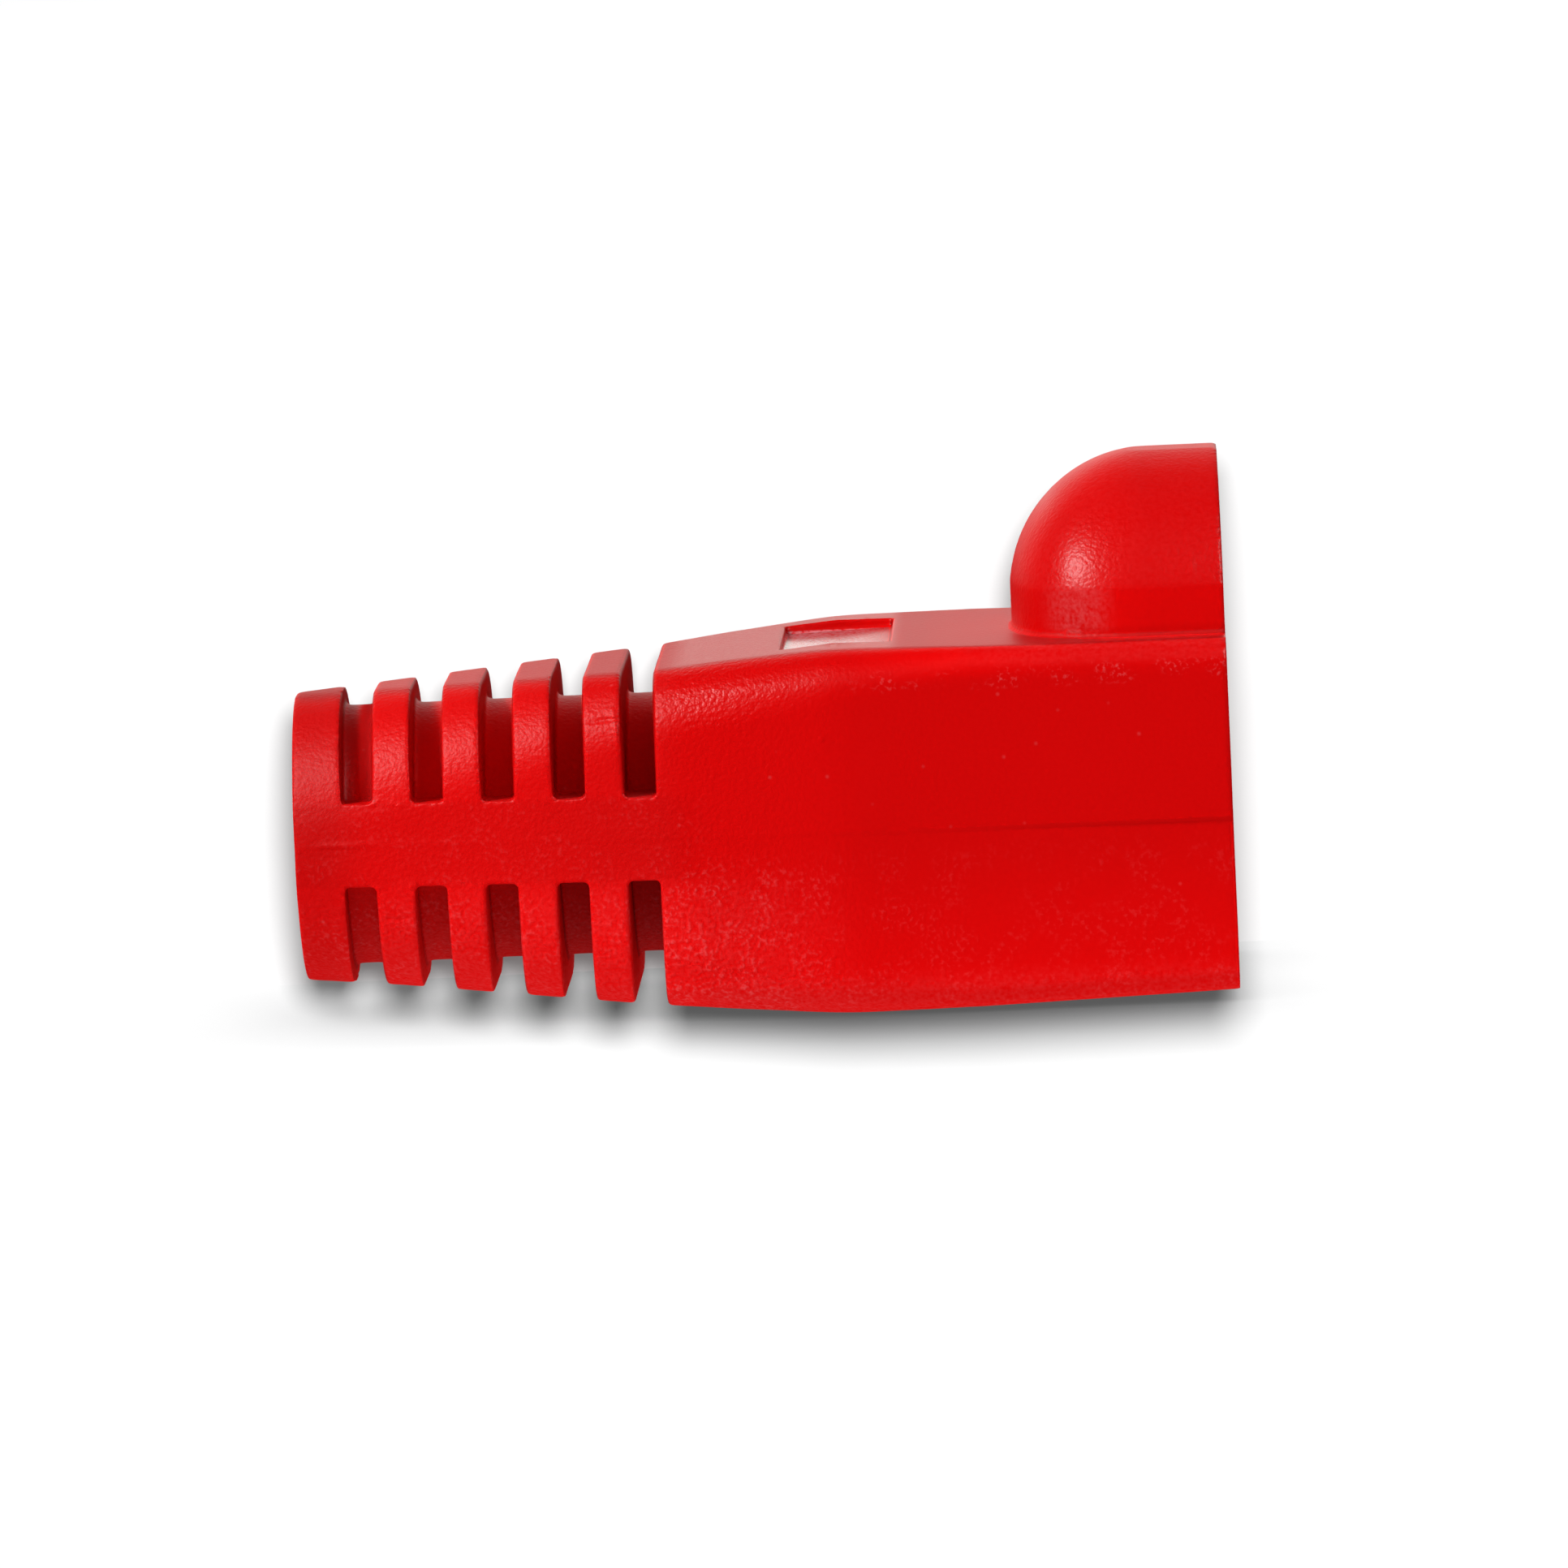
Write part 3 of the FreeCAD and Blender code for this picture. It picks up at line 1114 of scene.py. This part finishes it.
@dataclass(frozen=True)
class Studio:
    """Pale floor, white surroundings, a white sheet close behind the boot, and the lamps."""

    ambient: float = 0.26
    behind_reflected: float = 1.75
    behind_tint: tuple[float, float, float, float] = (1, 0.985, 0.93, 1)
    behind_from: tuple[float, float] = (0.2, 0.9)
    behind_above: tuple[float, float] = (-0.02, 0.08)
    floor_size_m: float = 4.0
    floor_bounce: float = 0.80
    contact_reach: float = 7.0
    contact_darkness: float = 0.46
    contact_samples: int = 16
    backdrop_gap: float = 9.0
    backdrop_size_m: float = 0.052
    backdrop_colour: tuple[float, float, float, float] = (0.1, 0.1, 0.1, 1)
    shadow_level: float = 0.13
    boot_lamps: tuple[Lamp, ...] = (
        Lamp("key", KEY_SIDE, distance_m=0.5, size_m=0.16, level=0.76, in_reflections=False),
        Lamp("glint", KEY_SIDE, distance_m=0.5, size_m=0.16, level=5.6, in_shading=False),
        Lamp("edge_glint", EDGE_SIDE, distance_m=0.5, size_m=0.10, level=2.2, in_shading=False),
    )
    over_camera: tuple[float, float, float] = (3.6, 28.2, 0.0)
    over_camera_distance_m: float = 0.37
    over_camera_size_m: float = 0.047
    over_camera_level: float = 9.1

    def surroundings(self) -> None:
        """Makes the world: white to the camera, an even dim light to everything else.

        What faces up mirrors the bright wall behind the boot.

        Returns:
            Nothing.
        """
        world = bpy.data.worlds.new("surroundings")
        bpy.context.scene.world = world
        world.use_nodes = True
        world.cycles.sampling_method = "NONE"
        world.node_tree.nodes.clear()
        board = NodeBoard(world.node_tree)
        path = board.add("ShaderNodeLightPath").outputs
        heading = board.split(board.add("ShaderNodeTexCoord").outputs["Generated"])
        backward = board.ramp(heading["Y"], *self.behind_from)
        behind = board.math("MULTIPLY", backward, board.ramp(heading["Z"], *self.behind_above))
        strength = board.math("MULTIPLY", behind, self.behind_reflected)
        seen = board.add("ShaderNodeBackground", {"Color": (1, 1, 1, 1), "Strength": 1.0})
        shed = board.add("ShaderNodeBackground", {"Color": (1, 1, 1, 1), "Strength": self.ambient})
        mirrored = board.add("ShaderNodeBackground", {"Color": self.behind_tint, "Strength": strength})
        by_gloss = board.mixed(path["Is Glossy Ray"], shed, mirrored)
        by_camera = board.mixed(path["Is Camera Ray"], by_gloss, seen)
        board.add("ShaderNodeOutputWorld", {"Surface": by_camera.outputs[0]})

    def floor(self, height: float) -> bpy.types.Object:
        """Makes the pale floor, which throws light up at the boot and keeps its soft contact shadow.

        Args:
            height: Its height, in metres.

        Returns:
            The floor.
        """
        floor = flat_sheet("floor", self.floor_size_m / 2, Matrix.Translation((0, 0, height)))
        material, board = blank_material("pale_floor")
        glow = board.add("ShaderNodeEmission", {"Color": (1, 1, 1, 1), "Strength": self.floor_bounce})
        clear = board.add("ShaderNodeBsdfTransparent")
        dark = board.add("ShaderNodeEmission", {"Color": (0, 0, 0, 1), "Strength": 0.0})
        reach = {"Distance": self.contact_reach * MM}
        open_sky = board.add("ShaderNodeAmbientOcclusion", reach, samples=self.contact_samples)
        covered = board.math("SUBTRACT", 1.0, open_sky.outputs["AO"])
        behind = board.add("ShaderNodeNewGeometry").outputs["Backfacing"]
        from_above = board.math("SUBTRACT", 1.0, behind)
        shade = board.math("MULTIPLY", board.math("MULTIPLY", covered, self.contact_darkness), from_above)
        shown = board.mixed(shade, clear, dark)
        seen = board.mixed(board.add("ShaderNodeLightPath").outputs["Is Camera Ray"], glow, shown)
        board.add("ShaderNodeOutputMaterial", {"Surface": seen.outputs[0]})
        floor.data.materials.append(material)
        floor.visible_glossy = False
        floor.visible_shadow = False
        return floor

    def backdrop(self, view: Viewpoint) -> bpy.types.Object:
        """Makes the white sheet that stands close behind the boot and takes its soft shadow.

        Args:
            view: Where the picture is taken from, which the sheet faces.

        Returns:
            The backdrop, which is clear from behind.
        """
        back = view.back()
        place = (Vector(view.target) - back * self.backdrop_gap) * MM
        turned = back.to_track_quat("Z", "Y").to_matrix().to_4x4()
        sheet = flat_sheet("backdrop", self.backdrop_size_m / 2, Matrix.Translation(place) @ turned)
        material, board = blank_material("white_backdrop")
        matt = board.add("ShaderNodeBsdfDiffuse", {"Color": self.backdrop_colour})
        glow = board.add("ShaderNodeEmission", {"Color": (1, 1, 1, 1), "Strength": self.shadow_level})
        paper = board.add("ShaderNodeAddShader", {0: matt.outputs[0], 1: glow.outputs[0]})
        clear = board.add("ShaderNodeBsdfTransparent")
        behind = board.add("ShaderNodeNewGeometry").outputs["Backfacing"]
        seen = board.mixed(behind, paper, clear)
        board.add("ShaderNodeOutputMaterial", {"Surface": seen.outputs[0]})
        sheet.data.materials.append(material)
        sheet.visible_glossy = False
        sheet.visible_diffuse = False
        sheet.visible_shadow = False
        return sheet

    def light(
        self, centre: Vector, boot: bpy.types.Object, backdrop: bpy.types.Object, camera: bpy.types.Object
    ) -> None:
        """Hangs the lamps: those for the boot, and one over the camera for the sheet behind it.

        Args:
            centre: The middle of the boot, in metres.
            boot: The boot.
            backdrop: The sheet.
            camera: The camera.

        Returns:
            Nothing.
        """
        for lamp in self.boot_lamps:
            lamp.build(centre, [boot])
        over_camera = camera.matrix_world @ (Vector(self.over_camera) * MM)
        sheet_lamp = Lamp(
            "over_camera",
            tuple(over_camera - centre),
            self.over_camera_distance_m,
            self.over_camera_size_m,
            self.over_camera_level,
        )
        sheet_lamp.build(centre, [backdrop])


def main() -> None:
    """Builds the boot, then the studio round it.

    Returns:
        Nothing.
    """
    lowest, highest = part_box(NODE)
    boot = BootSkin(SkinSizes(), MouldedPvc()).build()
    view = Viewpoint()
    studio = Studio()
    studio.surroundings()
    studio.floor(lowest.z)
    backdrop = studio.backdrop(view)
    studio.light((lowest + highest) / 2, boot, backdrop, view.build())
    bpy.context.scene.view_settings.view_transform = "Standard"


if __name__ == "__main__":
    main()
